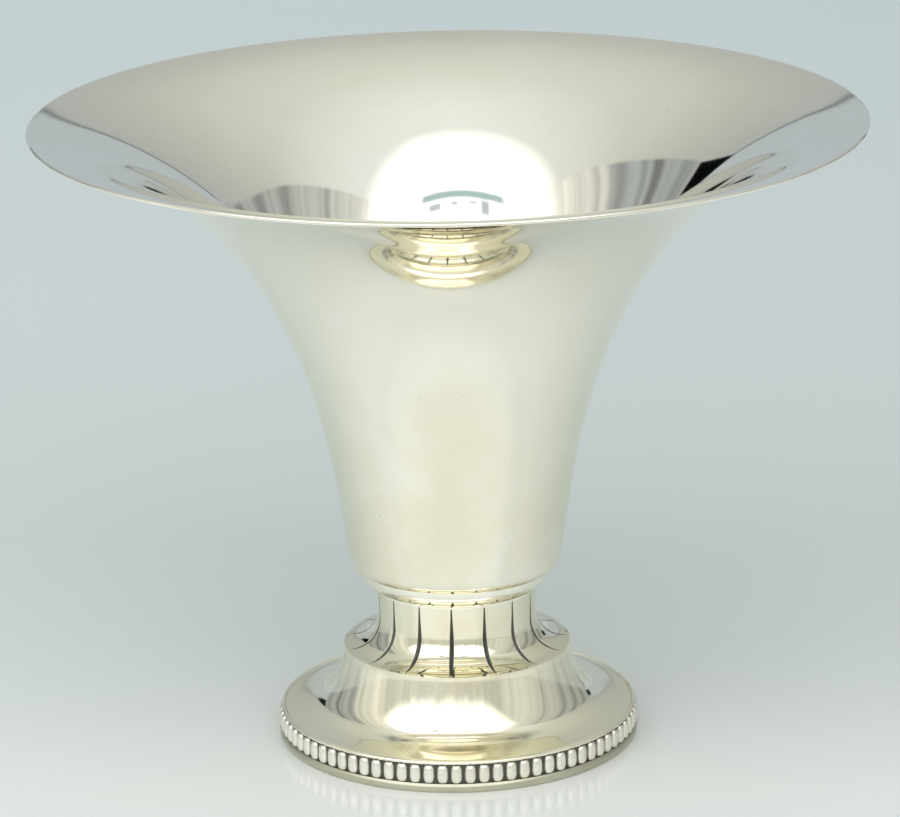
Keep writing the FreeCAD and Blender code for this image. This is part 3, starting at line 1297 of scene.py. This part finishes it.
    def curtains(self, gaze: Gaze) -> Layers:
        """Draw the pleated curtains on both sides and in front, and the dark gaps beside them.

        Args:
            gaze: the direction.

        Returns:
            Each layer's mask and colour.
        """
        sketch, turn, rise = gaze.sketch, gaze.turn, gaze.rise
        share = turn / 360 + 0.5
        cloth = sketch.ramp(self.curtain_stops, share)
        rail = sketch.node("ShaderNodeFloatCurve", {"bends": self.rail_bends}, {"Value": share})[0]
        fold = sketch.noise(sketch.vector(turn, 3.0, rise * 0.004), 0.11, 1.5)
        fine = sketch.noise(sketch.vector(turn, 9.0, rise * 0.01), 0.3, 1.0)
        deep, shallow = self.curtain_depths
        shade = 1.0 + (fold - 0.5) * deep + (fine - 0.5) * shallow
        for centre, width, tone in self.folds:
            shade = shade * (1.0 - turn.near(centre, width, width / 2) * (1 - tone))
        under = 1.0 - rise.above(rail * 90, 0.8)
        aside = turn.near(self.curtain_middle, self.curtain_width, 1.0)
        past = abs(turn) - self.back_turn
        low, high = self.left_gap_rises
        corner, slope = self.left_gap_side
        wedge = past.above(1.0, 0.8) * (1.0 - past.above((rise - corner) * slope, 1.0))
        top = high - past * self.left_gap_fall
        wedge = wedge * rise.above(low, 0.6) * (1.0 - rise.above(top, 0.4))
        left = (1.0 - turn.above(0.0, 1.0)) * wedge
        centre, width, middle, height = self.right_gap
        right = turn.near(centre, width, 1.5) * rise.near(middle, height, 1.5)
        return [(under * aside, sketch.scaled(cloth, shade)), (left.most(right), self.dark)]

    def panel(self, gaze: Gaze) -> Layers:
        """Draw the white lamp panel in front, with the blue band and the marks on it.

        Args:
            gaze: the direction.

        Returns:
            Each layer's mask and colour.
        """
        sketch, x, turn, rise = gaze.sketch, gaze.x, gaze.turn, gaze.rise
        rays = sketch.noise(sketch.vector(turn, 5.0, 0.0), 0.14)
        bottom = rise.above(self.panel_foot - (rays - 0.5) * self.panel_rays, 12.0)
        base, slope, curve = self.panel_cut
        cut = base + x * slope + x.squared() * curve
        top = (gaze.front - cut).above(0.02, 0.18)
        wider, narrower = self.panel_spreads
        width = self.panel_width + rise.least(self.panel_shoulder) * wider
        width = width - (rise - self.panel_shoulder).most(0.0) * narrower
        sides = turn.near(self.panel_turn, width, 14.0)
        arch = self.band_rise - (turn - self.band_middle).squared() * self.band_fall
        band = rise.near(arch, 2.5, 0.8) * turn.near(-10.0, 64.0, 6.0)
        layers = [(bottom * top * sides, (self.panel_strength,) * 3), (band, self.band_tone)]
        for centre, drop, wide, high in self.marks:
            mark = turn.near(centre, wide, 1.5) * rise.near(arch - drop, high, 0.8)
            layers.append((mark * 0.9, self.mark_tone))
        return layers


# ---- Putting it together ----


def reach_of(node: str) -> float:
    """The radius that a round node fills on all four sides."""
    low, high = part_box(node)
    return min(high.x, high.y, -low.x, -low.y)


def main() -> None:
    """Build the vase and its studio."""
    logging.basicConfig(level=logging.INFO, format="%(message)s")
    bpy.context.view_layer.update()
    polished_foot = SilverFinish(
        Slot.FOOT,
        "polished_foot",
        (0.958, 0.922, 0.78),
        (0.935, 0.885, 0.70),
        roughness=0.06,
        haze=0.04,
    ).made()
    # The ring's dark colour is painted shade: it stands in for the contact shadow on the table that
    # the ring reflects next to the foot.
    worn_ring = SilverFinish(
        Slot.FOOT, "worn_ring", (0.59, 0.58, 0.46), (0.53, 0.51, 0.39), roughness=0.25, haze=0.1
    ).made()
    beads = SilverFinish(
        Slot.BEADS, "beads", (0.94, 0.92, 0.84), (0.88, 0.85, 0.74), roughness=0.17, haze=0.14
    ).made()
    grooved_neck = SilverFinish(
        Slot.NECK, "grooved_neck", (0.91, 0.875, 0.72), (0.87, 0.82, 0.62), roughness=0.05
    ).made()
    collar = SilverFinish(
        Slot.NECK, "collar", (0.978, 0.958, 0.865), (0.965, 0.935, 0.81), roughness=0.05
    ).made()
    polished_bowl = SilverFinish(
        Slot.BOWL,
        "polished_bowl",
        tarnish=1.0,
        cloud_edge=0.43,
        cloud_softness=0.22,
        wiped_from=0.082,
        speck_share=0.4,
    ).made()
    mouth_radius, mouth_height = reach_of("rim_wire"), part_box("rim_wire")[1].z
    parts = (
        Foot(metal=polished_foot, ring_metal=worn_ring, bead_metal=beads),
        Neck(metal=grooved_neck),
        Collar(metal=collar),
        Bowl(metal=polished_bowl, mouth_radius=mouth_radius, mouth_height=mouth_height),
    )
    for part in parts:
        part.build()
    Camera().set_up()
    Studio().build()
    bpy.context.scene.view_settings.view_transform = "Standard"
    bpy.context.view_layer.update()
    log.info("%d pieces in all", sum(len(part.pieces) for part in parts))


if __name__ == "__main__":
    main()
